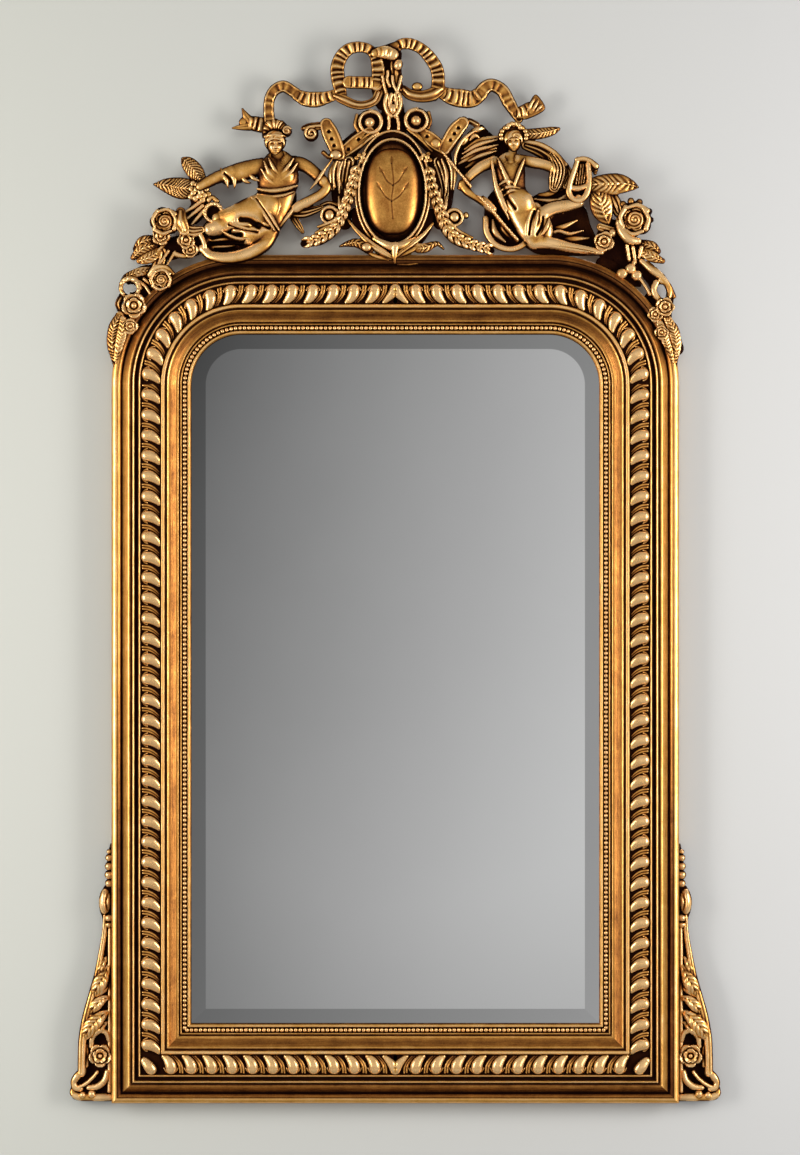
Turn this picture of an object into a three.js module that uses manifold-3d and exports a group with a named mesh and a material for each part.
// An arched overmantel mirror in a carved and gilded frame, in millimetres.
// X runs to the right, Y runs into the wall and Z runs up. A point is written as [x, z, h], where h is its
// height above the wall, so the front of the mirror faces -Y. The origin lies on the wall, in the middle of
// the bottom rail's back.
import * as THREE from "three";
import { mergeVertices } from "three/addons/utils/BufferGeometryUtils.js";
import Module from "manifold-3d";

const wasm = await Module();
wasm.setup();

// ---------------------------------------------------------------- driving dimensions
const FRAME_WIDTH = 931; // over the outer edges of the moulding
const FRAME_HEIGHT = 1392; // foot to the top edge of the moulding
const ARCH_RADIUS = 213; // outer radius of the rounded top corners
const ARC_STEPS = 7; // facets in a quarter turn of an arch

const WOOD_THICK = 20; // the carcass behind the moulding
const RAIL_WIDTH = 121; // carcass, from the outer edge to the glass rebate
const LEDGE_WIDTH = 24; // the rebate's ledge that takes the clips
const SIGHT_INSET = 130; // outer edge to the visible glass

const GLASS_THICK = 5;
const GLASS_PLAY = 0.5; // glass and backboard inside their rebate
const BEVEL_VISIBLE = 24;
const BEVEL_DROP = 2;
const BOARD_THICK = 4;
const SEAT_GAP = 0.3; // between pieces that rest on one another

const GADROON_PITCH = 33.5;
const GADROON_OUTER = 48.9; // band limits, from the outer edge
const GADROON_INNER = 80.3;
const GADROON_SEAT = 38; // height of the seat that the band lies on
const GADROON_LEAN = 12; // how far a lobe's tail lies behind its head
const BEAD_OUTER = 115.9;
const BEAD_INNER = 123.7;
const BEAD_SEAT = 23;

const SCREW_RADIUS = 1.9;
const SCREW_HEAD_RADIUS = 4;
const SCREW_HEAD_THICK = 2.4;
const SCREW_BITE = 7; // length of thread in the wood
const SCREW_CLEARANCE = 0.35; // around the shank
const PILOT_EXTRA = 0.8; // a hole runs this much past the screw's point

const CLIP_LENGTH = 44;
const CLIP_WIDTH = 14;
const CLIP_THICK = 2;

const HANGER_DROP = 59; // ring pivots below the spring of the arches
const HANGER_INSET = 50; // ring pivots, from the outer edge
const POCKET_DEPTH = 10;
const POCKET_WIDTH = 34;
const POCKET_ABOVE = 30; // from the pivot to the pocket's top end
const POCKET_BELOW = 46;
const STRAP_WIDTH = 14;
const STRAP_LENGTH = 38;
const STRAP_THICK = 1.5;
const KNUCKLE_RADIUS = 3.2;
const RING_WIRE_RADIUS = 1.4;
const RING_CLEARANCE = 0.35;
const RING_HALF_WIDTH = 11;
const RING_REST_LEAN = 3; // degrees towards the wood, so that the ring lies still

const BATTEN_WIDTH = 60;
const BATTEN_THICK = 10;
const BATTEN_LAP = 62; // how far the batten is let into the top rail
const BATTEN_RISE = 196; // above the top edge of the frame

const CREST_LIFT = 8; // the crest's drawing line above the frame's top edge
const CREST_CENTRE = -3.5; // the crest sits a little left of the frame's middle
const CARVING_GAP = 0.3; // between neighbouring carved pieces

// Finishes
const BURNISHED = { color: 0xd9a441, roughness: 0.34, metalness: 0.85 };
const TONED = { color: 0xa9712c, roughness: 0.46, metalness: 0.75 };
const OCHRE = { color: 0x9a7434, roughness: 0.8, metalness: 0.0 };
const PLYWOOD = { color: 0x8a6a48, roughness: 0.85, metalness: 0.0 };
const SILVERED = { color: 0x9aa0a3, roughness: 0.05, metalness: 1.0 };
const STEEL = { color: 0x8d8f92, roughness: 0.4, metalness: 1.0 };
const HANGER_BRASS = { color: 0xb08d4a, roughness: 0.4, metalness: 1.0 };

// ---------------------------------------------------------------- worked-out places
const HALF_WIDTH = FRAME_WIDTH / 2;
const ARCH_X = HALF_WIDTH - ARCH_RADIUS;
const ARCH_Z = FRAME_HEIGHT - ARCH_RADIUS;
const HANGER_HEIGHT = ARCH_Z - HANGER_DROP;
const SIDES = { left: -1, right: 1 };
const LEDGE_INSET = RAIL_WIDTH - LEDGE_WIDTH;
const ORIGIN_Z = LEDGE_INSET / 2;
const GLASS_INSET = RAIL_WIDTH + GLASS_PLAY;
const BEVEL_INSET = SIGHT_INSET + BEVEL_VISIBLE;
const BEVEL_AT_SIGHT = (BEVEL_DROP * BEVEL_VISIBLE) / (BEVEL_INSET - GLASS_INSET);
const GLASS_FRONT = WOOD_THICK - SEAT_GAP + BEVEL_AT_SIGHT;
const GLASS_BACK = GLASS_FRONT - GLASS_THICK;
const BOARD_FRONT = GLASS_BACK - SEAT_GAP;
const LEDGE_HEIGHT = BOARD_FRONT - BOARD_THICK;

const root = new THREE.Group();
root.position.z = -ORIGIN_Z;

// ---------------------------------------------------------------- solids
const WELD = 1e-3;

function toSolid(geometry) {
  const bare = geometry.clone();
  bare.deleteAttribute("normal");
  bare.deleteAttribute("uv");
  const merged = mergeVertices(bare, WELD);
  const points = merged.attributes.position.array;
  const faces = [];
  const all = merged.index.array;
  for (let i = 0; i < all.length; i += 3) {
    const face = [all[i], all[i + 1], all[i + 2]];
    if (new Set(face).size === 3) faces.push(face);
  }
  const corner = (i) => new THREE.Vector3().fromArray(points, 3 * i);
  const volume = faces.reduce(
    (sum, [a, b, c]) => sum + corner(a).dot(corner(b).cross(corner(c))),
    0,
  );
  const facing = volume < 0 ? faces.map(([a, b, c]) => [a, c, b]) : faces;
  const triVerts = new Uint32Array(facing.flat());
  return new wasm.Manifold(
    new wasm.Mesh({ numProp: 3, vertProperties: points, triVerts }),
  );
}

function toGeometry(solid) {
  const mesh = solid.getMesh();
  const geometry = new THREE.BufferGeometry();
  geometry.setAttribute(
    "position",
    new THREE.BufferAttribute(new Float32Array(mesh.vertProperties), 3),
  );
  geometry.setIndex(new THREE.BufferAttribute(new Uint32Array(mesh.triVerts), 1));
  geometry.computeVertexNormals();
  return geometry;
}

const unite = (solids) => solids.reduce((sum, solid) => sum.add(solid));
const cut = (solid, tools) => tools.reduce((left, tool) => left.subtract(tool), solid);

function addNode(name, solid, finish) {
  const material = new THREE.MeshStandardMaterial({ ...finish, flatShading: true });
  const mesh = new THREE.Mesh(toGeometry(solid), material);
  mesh.name = name;
  root.add(mesh);
}

const point = ([x, z, h]) => new THREE.Vector3(x, -h, z);

// A closed solid through rings of points; the two ends are covered by the faces in cap.
function loft(rings, cap, isLoop = false) {
  const count = rings[0].length;
  const spans = isLoop ? rings.length : rings.length - 1;
  const index = [];
  for (let i = 0; i < spans; i++) {
    const here = i * count;
    const next = ((i + 1) % rings.length) * count;
    for (let j = 0; j < count; j++) {
      const k = (j + 1) % count;
      index.push(here + j, here + k, next + k);
      index.push(here + j, next + k, next + j);
    }
  }
  if (!isLoop) {
    const end = (rings.length - 1) * count;
    for (const [a, b, c] of cap) {
      index.push(a, c, b);
      index.push(end + a, end + b, end + c);
    }
  }
  const positions = rings.flat().flatMap((p) => p.toArray());
  const geometry = new THREE.BufferGeometry();
  geometry.setAttribute("position", new THREE.Float32BufferAttribute(positions, 3));
  geometry.setIndex(index);
  return toSolid(geometry);
}

const fan = (count) => Array.from({ length: count - 2 }, (_, i) => [0, i + 1, i + 2]);

// The faces that cover a profile, turned the same way as the profile itself.
function earCut(profile) {
  const outline = profile.map(([a, b]) => new THREE.Vector2(a, b));
  const faces = THREE.ShapeUtils.triangulateShape(outline, []);
  const isTurned = (corners) => THREE.ShapeUtils.area(corners) > 0;
  const first = faces[0].map((i) => outline[i]);
  if (isTurned(first) === isTurned(outline)) return faces;
  return faces.map(([a, b, c]) => [a, c, b]);
}

function box(x0, x1, z0, z1, h0, h1) {
  const geometry = new THREE.BoxGeometry(x1 - x0, h1 - h0, z1 - z0);
  geometry.translate((x0 + x1) / 2, -(h0 + h1) / 2, (z0 + z1) / 2);
  return toSolid(geometry);
}

const DRILL_SIDES = 8;

function peg(x, z, h0, h1, radius) {
  const geometry = new THREE.CylinderGeometry(radius, radius, h1 - h0, DRILL_SIDES);
  geometry.translate(x, -(h0 + h1) / 2, z);
  return toSolid(geometry);
}

// A slab with the outline [[x, z], ...] between two heights above the wall.
function slab(outline, h0, h1) {
  const shape = new THREE.Shape(outline.map(([x, z]) => new THREE.Vector2(x, z)));
  const geometry = new THREE.ExtrudeGeometry(shape, { depth: h1 - h0, bevelEnabled: false });
  geometry.rotateX(Math.PI / 2);
  geometry.translate(0, -h0, 0);
  return toSolid(geometry);
}

// ---------------------------------------------------------------- frame path
// A stretch of the frame is a list of stations; a station gives the place of a point at an inset from the
// frame's outer edge. The stretches meet at the mitres of the two bottom corners and at the spring of the
// arches.
const onStile = (side, atFoot) => (inset) => [
  side * (HALF_WIDTH - inset),
  atFoot ? inset : ARCH_Z,
];
const onFoot = (side) => (inset) => [side * (HALF_WIDTH - inset), inset];
const onArc = (side, turn) => (inset) => [
  side * (ARCH_X + (ARCH_RADIUS - inset) * Math.cos(turn)),
  ARCH_Z + (ARCH_RADIUS - inset) * Math.sin(turn),
];

const quarter = Array.from({ length: ARC_STEPS + 1 }, (_, i) => (i / ARC_STEPS) * (Math.PI / 2));
const STRETCHES = {
  left: [onStile(-1, true), onStile(-1, false)],
  right: [onStile(1, true), onStile(1, false)],
  bottom: [onFoot(-1), onFoot(1)],
  top: [
    ...quarter.map((turn) => onArc(-1, turn)),
    ...quarter.map((turn) => onArc(1, turn)).reverse(),
  ],
};

// A profile [[inset, height], ...] carried along a stretch.
function sweep(stations, profile) {
  const rings = stations.map((station) =>
    profile.map(([inset, height]) => point([...station(inset), height])),
  );
  return loft(rings, earCut(profile));
}

// The frame's outline at an inset, with square feet and round shoulders.
function outlineAt(inset) {
  const all = [onFoot(-1), onFoot(1), ...[...STRETCHES.top].reverse()];
  return all.map((station) => station(inset));
}

// ---------------------------------------------------------------- moulding and carcass
const MOULDING_FACE = [
  [0, 27],
  [2, 31],
  [6, 34],
  [11, 34],
  [15.6, 30],
  [17, 28],
  [22, 32],
  [29.5, 39],
  [34.3, 38],
  [35.6, 42],
  [37.8, 42],
  [39.5, 37.5],
  [44.3, 37.5],
  [45.6, 42.5],
  [47.8, 42.5],
  [48.6, GADROON_SEAT],
  [80.6, GADROON_SEAT],
  [82.8, 43],
  [87, 43],
  [88.6, 38.5],
  [92.3, 38.5],
  [98, 33],
  [104, 28.5],
  [109.5, 26],
  [111, 23.6],
  [113.4, 25.6],
  [115, 25],
  [115.5, BEAD_SEAT],
  [124.1, BEAD_SEAT],
  [124.7, 26.2],
  [127.5, 26.2],
  [SIGHT_INSET, 23.5],
];
const MOULDING_PROFILE = [[0, WOOD_THICK], ...MOULDING_FACE, [SIGHT_INSET, WOOD_THICK]];
const CARCASS_PROFILE = [
  [0, 0],
  [0, WOOD_THICK],
  [RAIL_WIDTH, WOOD_THICK],
  [RAIL_WIDTH, LEDGE_HEIGHT],
  [LEDGE_INSET, LEDGE_HEIGHT],
  [LEDGE_INSET, 0],
];

// The front of the frame's outer mouldings, raised by the gap that carvings keep from it.
function raisedFace(gap) {
  const face = MOULDING_FACE.filter(([inset]) => inset < GADROON_OUTER);
  const walls = [[0, 0], ...face];
  const raised = walls.slice(1, -1).map(([inset, height], i) => {
    const before = walls[i];
    const after = walls[i + 2];
    const along = new THREE.Vector2(after[0] - before[0], after[1] - before[1]).normalize();
    return [inset - along.y * gap, height + along.x * gap];
  });
  const foot = -1;
  return [[-gap, foot], ...raised, [GADROON_OUTER, GADROON_SEAT], [GADROON_OUTER, foot]];
}

const frameTools = Object.values(STRETCHES).map((stations) =>
  sweep(stations, raisedFace(CARVING_GAP)),
);

// ---------------------------------------------------------------- gadroon band and beads
const GADROON_BED = [
  [GADROON_OUTER, GADROON_SEAT],
  [GADROON_OUTER, 44.5],
  [GADROON_INNER, 41],
  [GADROON_INNER, GADROON_SEAT],
];
const GADROON_REACH = 70; // higher than any lobe
const GADROON_ROOM = [
  [GADROON_OUTER, GADROON_SEAT],
  [GADROON_OUTER, GADROON_REACH],
  [GADROON_INNER, GADROON_REACH],
  [GADROON_INNER, GADROON_SEAT],
];
// A lobe along its own length: inset, share of the lean, height and radius.
const LOBE = [
  [54, 0, 43.5, 7.2],
  [77.5, 1, 41.2, 2.4],
];
const BAND_MIDDLE = (GADROON_OUTER + GADROON_INNER) / 2;
const BAND_RADIUS = ARCH_RADIUS - BAND_MIDDLE;

// Places along the band's middle line, s millimetres from the start of the stretch.
const bandPlaces = {
  stile: (side) => (inset, s) => [side * (HALF_WIDTH - inset), BAND_MIDDLE + s],
  arc: (side) => (inset, s) => onArc(side, s / BAND_RADIUS)(inset),
  head: (side) => (inset, s) => [side * s, FRAME_HEIGHT - inset],
  foot: (side) => (inset, s) => [side * s, inset],
  corner: (side) => (inset, s) => [
    side * (HALF_WIDTH - inset + s * Math.SQRT1_2),
    inset + s * Math.SQRT1_2,
  ],
};

const LOBE_SIDES = 4;
const LOBE_STEPS = 1;

function lobe(place, s, lean) {
  const line = LOBE.map(([inset, share, height, radius]) => [
    ...place(inset, s + share * lean),
    height,
    radius,
  ]);
  return strand(line, { flat: 1.4, sides: LOBE_SIDES, steps: LOBE_STEPS })(0);
}

// Evenly spaced lobes over a length, the first one half a pitch or a whole pitch from its start.
function lobeRow(place, length, lean, first) {
  const count = Math.max(1, Math.round(length / GADROON_PITCH - first + 0.5));
  const pitch = length / (count + first - 0.5);
  return Array.from({ length: count }, (_, i) => lobe(place, (i + first) * pitch, lean));
}

function gadroonBand(stations, lobes) {
  const bed = sweep(stations, GADROON_BED);
  const room = sweep(stations, GADROON_ROOM);
  return bed.add(unite(lobes).intersect(room));
}

const BEAD_PROFILE = [
  [BEAD_OUTER, BEAD_SEAT],
  [BEAD_OUTER, BEAD_SEAT + 2],
  [BEAD_OUTER + 2, BEAD_SEAT + 4.2],
  [BEAD_INNER - 2, BEAD_SEAT + 4.2],
  [BEAD_INNER, BEAD_SEAT + 2],
  [BEAD_INNER, BEAD_SEAT],
];

// ---------------------------------------------------------------- carving shapes
// Each of these returns a function of grow: the solid itself at 0, and at more a cutting tool that leaves
// that gap around it.
const TOWARDS_VIEWER = new THREE.Vector3(0, -1, 0);

// A limb, ribbon, stem or leaf: an oval section with the radius r carried through [[x, z, h, r], ...].
function strand(line, { flat = 0.8, sides = 5, steps = line.length > 3 ? 1 : 2, isLoop = false } = {}) {
  return (grow) => {
    const curve = new THREE.CatmullRomCurve3(line.map(point), isLoop, "centripetal");
    const spans = isLoop ? line.length : line.length - 1;
    const stops = spans * steps + (isLoop ? 0 : 1);
    const rings = Array.from({ length: stops }, (_, i) => {
      const share = i / (spans * steps);
      const span = Math.floor(i / steps);
      const mix = i / steps - span;
      const radius = THREE.MathUtils.lerp(
        line[span % line.length][3],
        line[(span + 1) % line.length][3],
        mix,
      );
      const centre = curve.getPoint(share);
      const across = curve.getTangent(share).cross(TOWARDS_VIEWER).normalize();
      const outward = across.clone().cross(curve.getTangent(share)).normalize();
      return Array.from({ length: sides }, (_, j) => {
        const turn = (j / sides) * 2 * Math.PI;
        return centre
          .clone()
          .addScaledVector(across, (radius + grow) * Math.cos(turn))
          .addScaledVector(outward, (radius * flat + grow) * Math.sin(turn));
      });
    });
    return loft(rings, fan(sides), isLoop);
  };
}

// An oval ring of ribbon or scroll.
function hoop([x, z, h], rx, rz, r, { flat = 0.6, sides = 5, stops = 10 } = {}) {
  const line = Array.from({ length: stops }, (_, i) => {
    const turn = (i / stops) * 2 * Math.PI;
    return [x + rx * Math.cos(turn), z + rz * Math.sin(turn), h, r];
  });
  return strand(line, { flat, sides, steps: 1, isLoop: true });
}

function ball([x, z, h], rx, rz, rh) {
  return (grow) => {
    const geometry = new THREE.SphereGeometry(1, 7, 4);
    geometry.scale(rx + grow, rh + grow, rz + grow);
    geometry.translate(x, -h, z);
    return toSolid(geometry);
  };
}

// An open flower that looks at the viewer: a scalloped cup with a round heart.
function blossom([x, z, h], radius, depth, petals = 5) {
  const levels = [
    [0.72, 0],
    [1, 0.35],
    [0.86, 0.75],
    [0.45, 0.55],
    [0.3, 1],
  ];
  return (grow) => {
    const count = petals * 2;
    const rings = levels.map(([reach, rise], level) =>
      Array.from({ length: count }, (_, j) => {
        const turn = (j / count) * 2 * Math.PI;
        const scallop = level > 0 && level < 3 && j % 2 ? 0.84 : 1;
        const r = radius * reach * scallop + grow;
        const lift = level === 0 ? -grow : depth * rise + grow;
        return point([x + r * Math.cos(turn), z + r * Math.sin(turn), h + lift]);
      }),
    );
    return loft(rings, fan(count));
  };
}

// A closed solid through oval rings [[rx, rz, h], ...] around one centre.
function ovals(x, z, levels, count = 20) {
  return (grow) => {
    const rings = levels.map(([rx, rz, h], level) =>
      Array.from({ length: count }, (_, j) => {
        const turn = (j / count) * 2 * Math.PI;
        const lift = level === 0 ? -grow : grow;
        return point([
          x + (rx + grow) * Math.cos(turn),
          z + (rz + grow) * Math.sin(turn),
          h + lift,
        ]);
      }),
    );
    return loft(rings, fan(count));
  };
}

const plate = (outline, h0, h1) => (grow) => slab(outline, h0 - grow, h1 + grow);

// Carvings are cut in this order: each one makes room for those before it.
const carvings = [];

function carve(name, parts, finish = BURNISHED) {
  carvings.push({ name, parts, finish });
}

// ---------------------------------------------------------------- crest, drawn above the frame's top edge
const CREST_Z = FRAME_HEIGHT + CREST_LIFT;
const onCrest = ([x, z, ...rest]) => [CREST_CENTRE + x, CREST_Z + z, ...rest];
const crestStrand = (line, look) => strand(line.map(onCrest), look);
const crestHoop = (centre, rx, rz, r, look) => hoop(onCrest(centre), rx, rz, r, look);
const crestBall = (centre, rx, rz, rh) => ball(onCrest(centre), rx, rz, rh);
const crestBlossom = (centre, radius, depth, petals) =>
  blossom(onCrest(centre), radius, depth, petals);

const RIBBON = { flat: 0.45 };
const FOLD = { flat: 0.7 };
const LEAF = { flat: 0.4, sides: 4, steps: 1 };
const STEM = { flat: 0.9, sides: 4, steps: 1 };
const DRAPERY = { flat: 0.7 };
const LIMB = { flat: 0.95 };
const TORSO = { flat: 0.66, sides: 6, steps: 2 };

// Cartouche: a hollow oval dish with a loose domed boss in it, and scrolled leaves under it.
const DISH_BACK = BATTEN_THICK + SEAT_GAP;
const DISH_FLOOR = 26;
const DISH_Z = 97;
const dishLevels = [
  [58, 86, DISH_BACK],
  [64, 92, 18],
  [64, 92, 35],
  [61, 89, 42],
  [57, 84.5, 44],
  [53, 80.5, 40],
  [50.5, 77.5, 31],
  [49.5, 76.5, DISH_FLOOR],
];
const bossLevels = [
  [46, 73.5, DISH_FLOOR + SEAT_GAP],
  [46, 73.5, 36],
  [43, 70, 45.5],
  [35, 60, 52.5],
  [21, 40, 57.5],
  [7, 15, 59.5],
];

carve("cartouche", [
  ovals(CREST_CENTRE, CREST_Z + DISH_Z, dishLevels),
  ...[-1, 1].flatMap((side) => [
    crestStrand([
      [0, -14, 38, 6], [side * 20, -5, 40, 8], [side * 40, 8, 38, 8], [side * 58, 27, 34, 7],
      [side * 70, 48, 30, 5],
    ], FOLD),
    crestStrand([
      [side * 36, 3, 38, 6], [side * 58, 12, 40, 9], [side * 86, 4, 40, 2],
    ], LEAF),
    crestStrand([
      [side * 4, -18, 42, 4], [side * 24, -14, 43, 5], [side * 46, -4, 42, 4],
    ], STEM),
  ]),
  crestStrand([
    [0, 16, 34, 9], [0, 0, 40, 9], [0, -22, 42, 3],
  ], FOLD),
]);

carve("cartouche_boss", [ovals(CREST_CENTRE, CREST_Z + DISH_Z, bossLevels)]);

// Two volutes with pearls, and a palmette bud between them, on the cartouche's shoulder.
carve("palmette", [
  ...[-1, 1].flatMap((side) => [
    crestHoop([side * 39, 210, 34], 15, 15, 6.5, { flat: 0.9 }),
    crestBall([side * 39, 210, 36], 9.5, 9.5, 11),
    crestStrand([
      [side * 30, 188, 32, 8], [side * 14, 200, 34, 9], [side * 6, 224, 34, 8],
    ], FOLD),
  ]),
  crestStrand([
    [0, 188, 34, 10], [0, 208, 36, 9], [-1, 228, 38, 12], [-2, 242, 36, 6],
  ], FOLD),
]);

// Ribbon bow: two loops, a lower fold on each side and an upright knot.
carve("ribbon_bow", [
  crestHoop([-59, 301, 26], 34, 27.5, 9.5, { flat: 0.55, stops: 12 }),
  crestHoop([-57, 258, 28], 27, 16, 6.5, { flat: 0.7 }),
  crestHoop([38, 299, 26], 36, 38, 10.5, { flat: 0.55, stops: 12 }),
  crestStrand([
    [12, 262, 30, 8], [26, 252, 32, 10], [46, 249, 32, 11], [66, 255, 30, 10], [80, 264, 26, 8],
  ], FOLD),
  crestStrand([
    [-34, 326, 30, 7], [-16, 326, 32, 9], [4, 333, 30, 9], [18, 338, 28, 8],
  ], FOLD),
  crestStrand([
    [-26, 318, 32, 8], [-25, 295, 36, 10], [-23, 270, 34, 9], [-16, 250, 32, 6],
  ], FOLD),
  crestStrand([
    [-4, 326, 34, 9], [-6, 300, 38, 12], [-4, 274, 38, 11], [-2, 244, 34, 8],
  ], FOLD),
  crestBall([7, 303, 40], 8, 8, 7),
]);

carve("ribbon_tail_left", [
  crestStrand([
    [-80, 265, 26, 9], [-108, 251, 26, 11], [-137, 248, 25, 12], [-157, 254, 24, 10],
    [-169, 263, 23, 9], [-182, 269, 22, 8.5], [-196, 263, 21, 8.5], [-204.5, 250, 20, 8.5],
    [-206, 232, 19, 8.5], [-206, 205, 16, 8],
  ], RIBBON),
  crestStrand([
    [-206, 208, 18, 8], [-228, 207, 20, 11], [-246, 204, 22, 9], [-265, 201, 24, 2.5],
  ], RIBBON),
  crestStrand([
    [-230, 209, 21, 8], [-242, 218, 23, 5], [-249, 232, 24, 1.5],
  ], RIBBON),
]);

carve("ribbon_tail_right", [
  crestStrand([
    [84, 258, 26, 12], [108, 250, 26, 16], [133, 248, 25, 14], [150, 267, 24, 12], [163, 272, 23, 11],
    [181, 260, 22, 11], [190, 241, 21, 11], [202, 224, 18, 8],
  ], RIBBON),
  crestStrand([
    [198, 226, 20, 7], [214, 228, 22, 11], [228, 234, 23, 14], [239, 242, 22, 14],
  ], RIBBON),
]);

// Dotted straps that roll outwards at their heads and join the palmette to the cartouche.
for (const [name, side] of Object.entries(SIDES)) {
  carve(`strap_scroll_${name}`, [
    crestStrand([
      [side * 112, 206, 30, 13], [side * 105, 190, 31, 14], [side * 95, 172, 30, 13],
      [side * 84, 156, 28, 10],
    ], RIBBON),
    crestBall([side * 133, 192, 28], 14, 15, 12),
    crestStrand([
      [side * 116, 204, 28, 9], [side * 128, 206, 27, 9], [side * 138, 196, 26, 8],
    ], FOLD),
    crestStrand([
      [side * 82, 158, 28, 9], [side * 66, 172, 28, 9], [side * 40, 192, 28, 8],
    ], RIBBON),
    crestStrand([
      [side * 84, 158, 26, 10], [side * 76, 144, 26, 9], [side * 57, 122, 24, 9],
    ], FOLD),
  ]);
}

// Husk garlands that fall beside the cartouche, with a small ring scroll on each.
for (const [name, side] of Object.entries(SIDES)) {
  carve(`garland_${name}`, [
    crestStrand([
      [side * 56, 146, 40, 5], [side * 60, 132, 42, 8.5], [side * 64, 116, 42, 6],
      [side * 68, 101, 42, 9], [side * 72, 86, 42, 6], [side * 77, 72, 41, 9], [side * 83, 58, 40, 6],
      [side * 92, 44, 40, 9], [side * 104, 31, 39, 6], [side * 118, 20, 38, 8.5],
      [side * 134, 11, 38, 6], [side * 152, 4, 37, 7.5], [side * 166, -4, 37, 3],
    ], { flat: 0.75 }),
    crestHoop([side * 103, 56, 34], 13, 12, 4.6, { flat: 0.9, sides: 4, stops: 8 }),
    crestStrand([
      [side * 112, 66, 34, 4], [side * 130, 61, 34, 4], [side * 146, 64, 34, 4.5],
      [side * 160, 72, 32, 4],
    ], STEM),
  ]);
}

// ---------------------------------------------------------------- figures
const HEAD_WIDTH = 17;
const HEAD_HEIGHT = 20;

carve("figure_left", [
  crestBall([-194, 171, 46], HEAD_WIDTH, HEAD_HEIGHT, 19),
  crestBall([-196, 189, 40], 22, 17, 18),
  crestBall([-180, 198, 38], 10, 10, 9),
  crestStrand([
    [-193, 160, 40, 9], [-192, 144, 36, 10],
  ], LIMB),
  crestStrand([
    [-190, 146, 34, 16], [-190, 126, 34, 26], [-190, 104, 34, 23], [-197, 84, 33, 20],
    [-205, 64, 32, 23],
  ], TORSO),
  crestStrand([
    [-216, 141, 34, 9], [-190, 147, 34, 11], [-166, 141, 34, 9],
  ], LIMB),
  crestStrand([
    [-212, 141, 36, 11], [-237, 136, 38, 12], [-265, 129, 38, 10], [-288, 121, 37, 8.5],
    [-308, 111, 36, 7],
  ], LIMB),
  crestStrand([
    [-268, 120, 32, 8], [-245, 117, 30, 10], [-224, 122, 30, 8],
  ], DRAPERY),
  crestStrand([
    [-168, 140, 38, 11], [-146, 134, 42, 10], [-124, 121, 44, 8], [-108, 105, 44, 7.5],
    [-116, 91, 46, 8], [-136, 79, 46, 7], [-154, 70, 44, 5],
  ], LIMB),
  crestStrand([
    [-207, 70, 36, 22], [-238, 66, 38, 24], [-268, 56, 38, 22], [-296, 42, 36, 13],
  ], DRAPERY),
  crestStrand([
    [-202, 46, 30, 16], [-236, 28, 28, 17], [-270, 18, 26, 16], [-300, 14, 26, 13],
  ], DRAPERY),
  crestStrand([
    [-192, 26, 42, 6], [-217, 6, 46, 10], [-248, -8, 46, 10], [-282, -13, 44, 9], [-314, -5, 42, 7],
    [-314, 14, 40, 6], [-304, 34, 38, 7],
  ], DRAPERY),
  crestStrand([
    [-228, 84, 52, 4], [-213, 62, 56, 5], [-198, 38, 52, 5], [-192, 24, 46, 4],
  ], STEM),
  crestStrand([
    [-96, 150, 46, 2.4], [-112, 124, 50, 2.6], [-134, 96, 52, 2.6],
  ], STEM),
]);

carve("figure_right", [
  crestBall([197, 173, 46], HEAD_WIDTH, HEAD_HEIGHT, 19),
  crestBall([196, 193, 40], 22, 17, 18),
  crestStrand([
    [210, 184, 32, 6], [240, 189, 32, 8], [270, 197, 30, 2.5],
  ], LEAF),
  crestStrand([
    [197, 162, 40, 9], [196, 144, 36, 10],
  ], LIMB),
  crestStrand([
    [196, 146, 34, 16], [194, 126, 34, 24], [194, 104, 36, 20], [200, 84, 37, 22], [206, 62, 34, 25],
  ], TORSO),
  crestStrand([
    [170, 141, 34, 9], [196, 147, 34, 11], [221, 141, 34, 9],
  ], LIMB),
  crestStrand([
    [172, 141, 38, 10], [148, 132, 42, 9], [126, 118, 44, 8], [112, 107, 44, 8], [130, 93, 46, 8.5],
    [149, 79, 46, 7], [164, 68, 44, 5],
  ], LIMB),
  crestStrand([
    [218, 142, 36, 9], [240, 141, 34, 9], [258, 130, 32, 9], [268, 112, 30, 8],
  ], LIMB),
  crestStrand([
    [206, 172, 22, 6], [236, 171, 22, 9], [264, 154, 22, 11], [281, 128, 22, 11], [286, 102, 22, 10],
    [266, 84, 24, 11], [240, 77, 26, 12], [216, 72, 28, 13],
  ], DRAPERY),
  crestStrand([
    [186, 150, 26, 10], [152, 168, 19, 14], [128, 170, 18, 15], [112, 152, 18, 9], [106, 132, 20, 4],
  ], DRAPERY),
  crestStrand([
    [209, 66, 38, 22], [240, 56, 40, 20], [268, 62, 42, 16], [296, 70, 42, 9], [306, 66, 40, 6],
  ], DRAPERY),
  crestStrand([
    [216, 56, 40, 17], [230, 36, 42, 14], [242, 18, 42, 11], [262, 14, 42, 10], [296, 6, 42, 8],
    [336, -2, 40, 4],
  ], DRAPERY),
  crestStrand([
    [244, 48, 26, 15], [270, 34, 24, 15], [300, 24, 22, 13], [318, 26, 22, 10],
  ], DRAPERY),
  crestStrand([
    [153, 72, 30, 8], [158, 46, 32, 8], [167, 20, 34, 9], [186, 4, 36, 9], [206, 6, 38, 8],
    [220, 26, 40, 8],
  ], DRAPERY),
  crestStrand([
    [180, 66, 26, 16], [184, 44, 24, 18], [192, 22, 24, 14],
  ], DRAPERY),
  crestStrand([
    [81, 157, 46, 2.4], [118, 110, 53, 2.6], [163, 62, 54, 2.6], [202, 20, 50, 2.6],
  ], STEM),
]);

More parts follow.
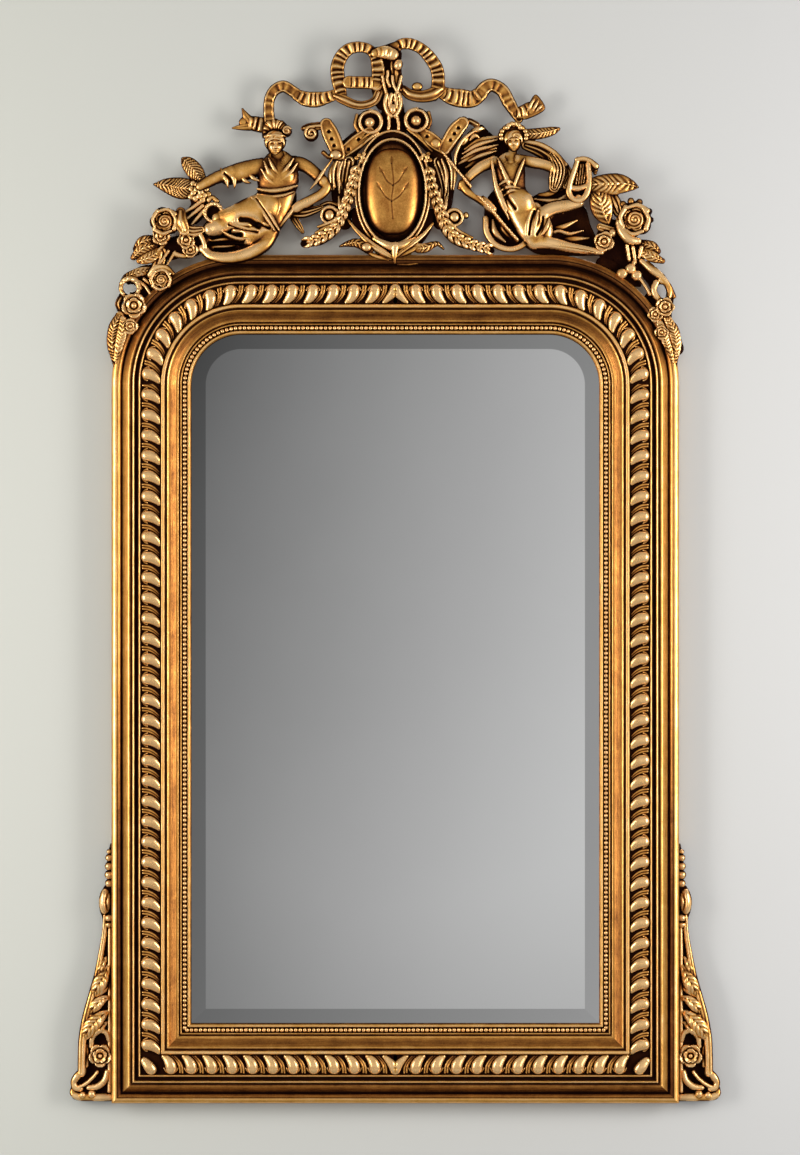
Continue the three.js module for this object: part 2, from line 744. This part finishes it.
// ---------------------------------------------------------------- attributes beside the figures
carve("wreath_and_leaves", [
  crestBall([-317, 98, 36], 19, 16, 14),
  crestHoop([-291, 62, 36], 12.5, 12.5, 4.6, { flat: 0.9, sides: 4, stops: 8 }),
  crestStrand([
    [-314, 112, 30, 6], [-329, 130, 28, 12], [-348, 150, 26, 2],
  ], LEAF),
  crestStrand([
    [-322, 100, 28, 10], [-356, 104, 26, 17], [-392, 107, 24, 2],
  ], LEAF),
  crestStrand([
    [-312, 88, 34, 8], [-308, 74, 34, 8], [-326, 60, 32, 9], [-348, 52, 30, 3],
  ], DRAPERY),
]);

carve("lyre", [
  crestStrand([
    [288, 86, 44, 7], [303, 81, 45, 8], [320, 88, 44, 7],
  ], FOLD),
  crestStrand([
    [290, 90, 44, 5], [297, 118, 44, 4.5], [306, 148, 44, 4.5],
  ], STEM),
  crestStrand([
    [318, 90, 44, 5], [321, 116, 44, 4.5], [320, 142, 44, 4.5],
  ], STEM),
  crestStrand([
    [303, 147, 44, 4.5], [314, 147, 44, 4.5], [326, 138, 42, 4], [336, 124, 38, 4],
  ], STEM),
  crestStrand([
    [304, 90, 40, 9], [310, 118, 40, 9], [314, 142, 40, 7],
  ], { flat: 0.3, sides: 4 }),
]);

carve("leaf_spray_right", [
  crestStrand([
    [316, 104, 40, 11], [336, 108, 32, 13], [366, 111, 28, 16], [399, 104, 26, 2],
  ], LEAF),
  crestStrand([
    [322, 104, 34, 9], [338, 74, 34, 20], [350, 42, 32, 3],
  ], LEAF),
  crestStrand([
    [330, 98, 28, 10], [350, 88, 28, 11], [370, 76, 28, 9],
  ], DRAPERY),
]);

// ---------------------------------------------------------------- shoulders, drawn from the arch centres
// On the left the drawing is used as it stands, on the right it is turned over.
const atShoulder = (side) => {
  const grown = ARCH_RADIUS / 213; // 1 at the arches it is drawn on
  const widened = Math.max(1, grown); // strands widen with larger arches, and stay as stout on smaller ones
  const move = ([x, z, h, ...radius]) => [
    side * (ARCH_X - x * grown),
    ARCH_Z + z * grown,
    h,
    ...radius.map((r) => r * widened),
  ];
  return {
    line: (points, look) => strand(points.map(move), look),
    ring: (centre, rx, rz, r, look) => hoop(move(centre), rx * grown, rz * grown, r * grown, look),
    knob: (centre, rx, rz, rh) => ball(move(centre), rx * grown, rz * grown, rh),
    bloom: (centre, radius, depth, petals) => blossom(move(centre), radius * grown, depth, petals),
  };
};

const leftShoulder = atShoulder(-1);
const rightShoulder = atShoulder(1);

carve("rose_spray_left", [
  leftShoulder.bloom([-124, 267, 26], 24, 22),
  leftShoulder.knob([-102, 268, 34], 14, 20, 12),
  leftShoulder.line([
    [-104, 252, 32, 10], [-86, 250, 34, 11], [-68, 244, 34, 8],
  ], DRAPERY),
  leftShoulder.bloom([-132, 238, 30], 19, 18),
  leftShoulder.bloom([-90, 228, 26], 19, 16),
  leftShoulder.line([
    [-128, 232, 28, 12], [-152, 226, 28, 17], [-176, 208, 28, 8],
  ], { flat: 0.5 }),
  leftShoulder.line([
    [-118, 240, 26, 10], [-122, 216, 28, 12], [-128, 194, 30, 8], [-130, 182, 32, 6],
  ], DRAPERY),
  leftShoulder.line([
    [-96, 216, 24, 8], [-98, 204, 24, 6], [-92, 192, 24, 5],
  ], STEM),
]);

carve("shoulder_drop_left", [
  leftShoulder.bloom([-127, 171, 36], 18, 14),
  leftShoulder.ring([-184, 158, 28], 16, 12, 6, { flat: 0.9, sides: 4, stops: 8 }),
  leftShoulder.line([
    [-176, 170, 30, 7], [-156, 178, 32, 9], [-136, 184, 34, 6],
  ], DRAPERY),
  leftShoulder.line([
    [-146, 166, 30, 8], [-160, 146, 24, 12], [-172, 122, 24, 12],
  ], DRAPERY),
  leftShoulder.bloom([-178, 132, 30], 20, 16),
  leftShoulder.knob([-182, 99, 42], 9, 10, 7),
  leftShoulder.line([
    [-172, 124, 34, 8], [-184, 94, 38, 13], [-198, 58, 40, 5],
  ], LEAF),
  leftShoulder.line([
    [-188, 132, 32, 8], [-208, 88, 30, 11], [-212, 58, 30, 9], [-208, 28, 34, 3],
  ], DRAPERY),
]);

carve("rose_spray_right", [
  rightShoulder.bloom([-141, 272, 26], 28, 24),
  rightShoulder.bloom([-90, 233, 26], 17, 16, 4),
  rightShoulder.line([
    [-134, 252, 26, 9], [-112, 240, 24, 9], [-94, 232, 24, 8],
  ], DRAPERY),
  rightShoulder.line([
    [-138, 246, 26, 9], [-142, 218, 28, 9], [-140, 190, 30, 7], [-132, 176, 32, 6],
  ], DRAPERY),
  rightShoulder.line([
    [-146, 232, 28, 9], [-163, 216, 28, 14], [-184, 203, 28, 5],
  ], LEAF),
  rightShoulder.line([
    [-92, 222, 24, 7], [-90, 206, 24, 6], [-86, 194, 24, 5],
  ], STEM),
]);

carve("shoulder_drop_right", [
  rightShoulder.knob([-121, 182, 40], 9, 10, 9),
  rightShoulder.knob([-134, 188, 40], 10, 10, 9),
  rightShoulder.knob([-144, 177, 40], 9, 9, 8),
  rightShoulder.line([
    [-136, 184, 34, 10], [-158, 170, 28, 10], [-172, 150, 26, 10], [-176, 128, 26, 12],
  ], DRAPERY),
  rightShoulder.ring([-186, 155, 28], 13, 15, 6, { flat: 0.9, sides: 4, stops: 8 }),
  rightShoulder.line([
    [-150, 208, 28, 6], [-170, 196, 29, 9], [-190, 174, 29, 9], [-202, 148, 28, 7],
  ], DRAPERY),
  rightShoulder.bloom([-184, 128, 30], 20, 16),
  rightShoulder.knob([-178, 88, 42], 9, 10, 7),
  rightShoulder.line([
    [-176, 120, 34, 8], [-186, 92, 38, 12], [-200, 58, 40, 5],
  ], LEAF),
  rightShoulder.line([
    [-190, 130, 32, 8], [-209, 84, 30, 12], [-211, 56, 30, 9], [-208, 28, 34, 3],
  ], DRAPERY),
]);

// ---------------------------------------------------------------- brackets beside the foot
// Drawn outwards from the frame's outer edge and upwards from its foot.
const BRACKET_GAP = 0.3;
const BRACKET_PLATE = 12;
const bracketOutline = [
  [0, 0],
  [64, 0],
  [66, 10],
  [65, 30],
  [58, 46],
  [54, 54],
  [54, 110],
  [47, 148],
  [37, 186],
  [27, 222],
  [21, 258],
  [18, 298],
  [23, 314],
  [24, 332],
  [19, 348],
  [10, 356],
  [8, 392],
  [5, 414],
  [0, 418],
];

for (const [name, side] of Object.entries(SIDES)) {
  const move = ([x, z, ...rest]) => [side * (HALF_WIDTH + BRACKET_GAP + x), z, ...rest];
  const line = (points, look) => strand(points.map(move), look);
  const outline = bracketOutline.map(move);
  carve(`bracket_${name}`, [
    plate(outline, 0, BRACKET_PLATE),
    line([
      [5, 412, 16, 3], [5, 398, 17, 7], [6, 386, 17, 4.5], [6, 374, 17, 8], [7, 362, 17, 5],
      [8, 350, 16, 6],
    ], { flat: 0.9 }),
    ball(move([13, 331, 18]), 12, 21, 13),
    line([
      [12, 316, 17, 7], [12, 290, 16, 6], [14, 258, 16, 6], [20, 222, 17, 7], [30, 185, 18, 8],
      [41, 145, 19, 8], [47, 110, 19, 7.5], [48, 78, 18, 6.5], [48, 50, 18, 6.5],
    ], { flat: 1.4 }),
    line([
      [42, 138, 22, 9], [24, 160, 24, 10], [4, 172, 20, 3],
    ], LEAF),
    line([
      [34, 172, 20, 7], [18, 202, 22, 9], [4, 226, 18, 3],
    ], LEAF),
    line([
      [40, 92, 18, 4], [32, 110, 19, 4.5], [16, 117, 19, 5], [5, 110, 18, 4.5],
    ], STEM),
    blossom(move([17, 80, 8]), 20, 22),
    ball(move([56, 37, 16]), 10, 11, 15),
    ball(move([56, 16, 16]), 10, 12, 15),
  ]);
}

// ---------------------------------------------------------------- carve in order
const BATTEN_X = CREST_CENTRE;
const battenBox = (grow) =>
  box(
    BATTEN_X - BATTEN_WIDTH / 2 - grow,
    BATTEN_X + BATTEN_WIDTH / 2 + grow,
    FRAME_HEIGHT - BATTEN_LAP - grow,
    FRAME_HEIGHT + BATTEN_RISE + grow,
    -grow,
    BATTEN_THICK + grow,
  );

const FLOOR_DEEP = 200; // carvings are cut off at the mantel and at the wall
const SPREAD = 2000;
const belowFoot = box(-SPREAD, SPREAD, -FLOOR_DEEP, 0, -FLOOR_DEEP, FLOOR_DEEP);
const behindWall = box(-SPREAD, SPREAD, -FLOOR_DEEP, SPREAD, -FLOOR_DEEP, 0);

const obstacles = [...frameTools, battenBox(CARVING_GAP), belowFoot, behindWall];
const carved = new Map();
for (const { name, parts, finish } of carvings) {
  const whole = unite(parts.map((part) => part(0)));
  carved.set(name, { solid: cut(whole, obstacles), finish });
  obstacles.push(unite(parts.map((part) => part(CARVING_GAP))));
}

// ---------------------------------------------------------------- fasteners
const SCREW_SIDES = 6;

// A screw driven from the wall side: its head lies on the height h and its point goes on into the wood.
function screw(x, z, h, grip) {
  const length = grip + SCREW_BITE;
  const outline = [
    [0, -SCREW_HEAD_THICK],
    [SCREW_HEAD_RADIUS, -SCREW_HEAD_THICK],
    [SCREW_HEAD_RADIUS, 0],
    [SCREW_RADIUS, 0],
    [SCREW_RADIUS, length - 2 * SCREW_RADIUS],
    [0, length],
  ];
  const geometry = new THREE.LatheGeometry(
    outline.map(([r, depth]) => new THREE.Vector2(r, -depth)),
    SCREW_SIDES,
  );
  geometry.translate(x, -h, z);
  return toSolid(geometry);
}

const drill = (x, z, h, depth) =>
  peg(x, z, h, h + depth + PILOT_EXTRA, SCREW_RADIUS + SCREW_CLEARANCE);

// ---------------------------------------------------------------- clips that hold glass and backboard
const clipCentre = LEDGE_INSET + LEDGE_WIDTH / 2;
const clipReach = CLIP_LENGTH - LEDGE_WIDTH / 2; // from the screw to the clip's inner end
const clipFace = LEDGE_HEIGHT - CLIP_THICK;
const clipPlaces = {
  left: { x: -(HALF_WIDTH - clipCentre), z: ARCH_Z / 2, turn: [1, 0] },
  right: { x: HALF_WIDTH - clipCentre, z: ARCH_Z / 2, turn: [-1, 0] },
  bottom: { x: 0, z: clipCentre, turn: [0, 1] },
  top: { x: 0, z: FRAME_HEIGHT - clipCentre, turn: [0, -1] },
};
const ledgeDrills = {};

for (const [name, { x, z, turn }] of Object.entries(clipPlaces)) {
  const [dx, dz] = turn;
  const ends = [-LEDGE_WIDTH / 2 + 2, clipReach - 2];
  const xs = ends.map((end) => x + dx * end);
  const zs = ends.map((end) => z + dz * end);
  const wide = CLIP_WIDTH / 2;
  const bar = box(
    Math.min(...xs) - Math.abs(dz) * wide,
    Math.max(...xs) + Math.abs(dz) * wide,
    Math.min(...zs) - Math.abs(dx) * wide,
    Math.max(...zs) + Math.abs(dx) * wide,
    clipFace,
    LEDGE_HEIGHT,
  );
  const hole = peg(x, z, clipFace - 1, LEDGE_HEIGHT + 1, SCREW_RADIUS + SCREW_CLEARANCE);
  addNode(`clip_${name}`, bar.subtract(hole), STEEL);
  addNode(`clip_screw_${name}`, screw(x, z, clipFace, CLIP_THICK), STEEL);
  ledgeDrills[name] = drill(x, z, clipFace - 1, 1 + CLIP_THICK + SCREW_BITE);
}

// ---------------------------------------------------------------- hanger rings in pockets of the stiles
const strapFloor = POCKET_DEPTH;
const strapFace = strapFloor - STRAP_THICK;
const pivotHeight = strapFloor - KNUCKLE_RADIUS;
const strapScrewDrops = [STRAP_LENGTH * 0.42, STRAP_LENGTH * 0.8];
const hangerTools = {};
const BORE_SIDES = 12;

function hangerStrap(x) {
  // The side view, with the pivot at 0, 0: up on the first axis and towards the wood on the second.
  const fold = Math.asin((KNUCKLE_RADIUS - STRAP_THICK) / KNUCKLE_RADIUS);
  const wrap = 1.5 * Math.PI + fold;
  const wrapSteps = 14;
  const side = [[-STRAP_LENGTH, KNUCKLE_RADIUS - STRAP_THICK]];
  side.push([-STRAP_LENGTH, KNUCKLE_RADIUS]);
  for (let i = 0; i <= wrapSteps; i++) {
    const turn = Math.PI / 2 - (i / wrapSteps) * wrap;
    side.push([KNUCKLE_RADIUS * Math.cos(turn), KNUCKLE_RADIUS * Math.sin(turn)]);
  }
  const ends = [x - STRAP_WIDTH / 2, x + STRAP_WIDTH / 2];
  const rings = ends.map((end) =>
    side.map(([up, deep]) => point([end, HANGER_HEIGHT + up, pivotHeight + deep])),
  );
  const bore = new THREE.CylinderGeometry(
    RING_WIRE_RADIUS + RING_CLEARANCE,
    RING_WIRE_RADIUS + RING_CLEARANCE,
    2 * STRAP_WIDTH,
    BORE_SIDES,
  );
  bore.rotateZ(Math.PI / 2);
  bore.translate(x, -pivotHeight, HANGER_HEIGHT);
  return loft(rings, earCut(side)).subtract(toSolid(bore));
}

// A D of round wire: a straight bar through the knuckle and a bow over it.
function hangerRing(x) {
  const corner = 2;
  const bowSteps = 8;
  const line = [
    [RING_HALF_WIDTH - corner, 0],
    [RING_HALF_WIDTH, corner],
  ];
  for (let i = 0; i <= bowSteps; i++) {
    const turn = (i / bowSteps) * Math.PI;
    const rise = corner * 2 + RING_HALF_WIDTH * Math.sin(turn);
    line.push([RING_HALF_WIDTH * Math.cos(turn), rise]);
  }
  line.push([-RING_HALF_WIDTH, corner]);
  line.push([corner - RING_HALF_WIDTH, 0]);
  const wireSides = 8;
  const rings = line.map(([a, b], i) => {
    const before = line[(i + line.length - 1) % line.length];
    const after = line[(i + 1) % line.length];
    const along = new THREE.Vector2(after[0] - before[0], after[1] - before[1]).normalize();
    return Array.from({ length: wireSides }, (_, j) => {
      const turn = ((j + 0.5) / wireSides) * 2 * Math.PI;
      const out = RING_WIRE_RADIUS * Math.cos(turn);
      const up = RING_WIRE_RADIUS * Math.sin(turn);
      return new THREE.Vector3(a + along.y * out, up, b - along.x * out);
    });
  });
  const lean = new THREE.Matrix4().makeRotationX(THREE.MathUtils.degToRad(RING_REST_LEAN));
  const place = new THREE.Matrix4().makeTranslation(x, -pivotHeight, HANGER_HEIGHT);
  const turned = place.multiply(lean);
  rings.flat().forEach((corner) => corner.applyMatrix4(turned));
  return loft(rings, [], true);
}

for (const [name, side] of Object.entries(SIDES)) {
  const x = side * (HALF_WIDTH - HANGER_INSET);
  const places = strapScrewDrops.map((drop) => HANGER_HEIGHT - drop);
  const holes = places.map((z) =>
    peg(x, z, strapFace - 1, strapFloor + 1, SCREW_RADIUS + SCREW_CLEARANCE),
  );
  addNode(`hanger_strap_${name}`, cut(hangerStrap(x), holes), HANGER_BRASS);
  addNode(`hanger_ring_${name}`, hangerRing(x), HANGER_BRASS);
  ["upper", "lower"].forEach((level, i) =>
    addNode(
      `hanger_screw_${name}_${level}`,
      screw(x, places[i], strapFace, STRAP_THICK),
      STEEL,
    ),
  );
  hangerTools[name] = [
    box(
      x - POCKET_WIDTH / 2,
      x + POCKET_WIDTH / 2,
      HANGER_HEIGHT - POCKET_BELOW,
      HANGER_HEIGHT + POCKET_ABOVE,
      -1,
      POCKET_DEPTH,
    ),
    ...places.map((z) => drill(x, z, strapFace, STRAP_THICK + SCREW_BITE)),
  ];
}

// ---------------------------------------------------------------- batten behind the crest
const battenScrews = {
  lower: FRAME_HEIGHT - BATTEN_LAP / 2,
  upper: CREST_Z + DISH_Z,
};
const BATTEN_SINK = SCREW_HEAD_THICK + 0.5;
const battenHoles = Object.values(battenScrews).flatMap((z) => [
  peg(BATTEN_X, z, -1, BATTEN_SINK, SCREW_HEAD_RADIUS + SCREW_CLEARANCE),
  drill(BATTEN_X, z, 0, BATTEN_THICK + 1),
]);
const battenGrip = BATTEN_THICK - BATTEN_SINK;
addNode("crest_batten", cut(battenBox(0), battenHoles), OCHRE);
for (const [level, z] of Object.entries(battenScrews)) {
  addNode(`batten_screw_${level}`, screw(BATTEN_X, z, BATTEN_SINK, battenGrip), STEEL);
}
const battenDrills = Object.fromEntries(
  Object.entries(battenScrews).map(([level, z]) => [
    level,
    drill(BATTEN_X, z, 0, BATTEN_THICK + SCREW_BITE),
  ]),
);

// ---------------------------------------------------------------- frame nodes
for (const [name, stations] of Object.entries(STRETCHES)) {
  const tools = [ledgeDrills[name], ...(hangerTools[name] ?? [])];
  if (name === "top") tools.push(battenBox(CARVING_GAP), battenDrills.lower);
  addNode(`carcass_${name}`, cut(sweep(stations, CARCASS_PROFILE), tools), OCHRE);
  addNode(`moulding_${name}`, sweep(stations, MOULDING_PROFILE), TONED);
  addNode(`bead_${name}`, sweep(stations, BEAD_PROFILE), BURNISHED);
}

// Lobes on one half of the frame.
function halfLobes(side) {
  const place = Object.fromEntries(
    Object.entries(bandPlaces).map(([kind, make]) => [kind, make(side)]),
  );
  const stileLength = ARCH_Z - BAND_MIDDLE;
  const arcLength = BAND_RADIUS * (Math.PI / 2);
  const footLength = HALF_WIDTH - BAND_MIDDLE;
  return {
    corner: lobe(place.corner, 0, 0),
    stile: lobeRow(place.stile, stileLength, -GADROON_LEAN, 1),
    arc: lobeRow(place.arc, arcLength, -GADROON_LEAN, 0.5),
    head: lobeRow(place.head, ARCH_X, GADROON_LEAN, 1),
    foot: lobeRow(place.foot, footLength, GADROON_LEAN, 1).slice(0, -1),
  };
}

const halves = { left: halfLobes(SIDES.left), right: halfLobes(SIDES.right) };
for (const [name, half] of Object.entries(halves)) {
  const lobes = [...half.stile, half.corner];
  addNode(`gadroon_${name}`, gadroonBand(STRETCHES[name], lobes), BURNISHED);
}
const forkedLobes = (kind) =>
  Object.values(SIDES).map((side) => lobe(bandPlaces[kind](side), 0, GADROON_LEAN));
addNode(
  "gadroon_top",
  gadroonBand(STRETCHES.top, [
    ...forkedLobes("head"),
    ...Object.values(halves).flatMap(({ arc, head }) => [...arc, ...head]),
  ]),
  BURNISHED,
);
addNode(
  "gadroon_bottom",
  gadroonBand(STRETCHES.bottom, [
    ...forkedLobes("foot"),
    ...Object.values(halves).flatMap(({ foot, corner }) => [...foot, corner]),
  ]),
  BURNISHED,
);

// ---------------------------------------------------------------- glass and backboard
const levelRing = ([inset, height]) => outlineAt(inset).map((p) => point([...p, height]));
const glassLevels = [
  [GLASS_INSET, GLASS_BACK],
  [GLASS_INSET, GLASS_FRONT - BEVEL_DROP],
  [BEVEL_INSET, GLASS_FRONT],
];
const boardLevels = [
  [GLASS_INSET, LEDGE_HEIGHT],
  [GLASS_INSET, BOARD_FRONT],
];
const outlineCap = fan(outlineAt(0).length);
addNode("mirror_plate", loft(glassLevels.map(levelRing), outlineCap), SILVERED);
addNode("backboard", loft(boardLevels.map(levelRing), outlineCap), PLYWOOD);

// ---------------------------------------------------------------- carved nodes
for (const [name, { solid, finish }] of carved) {
  const drilled = name === "cartouche" ? solid.subtract(battenDrills.upper) : solid;
  addNode(name, drilled, finish);
}

export default root;
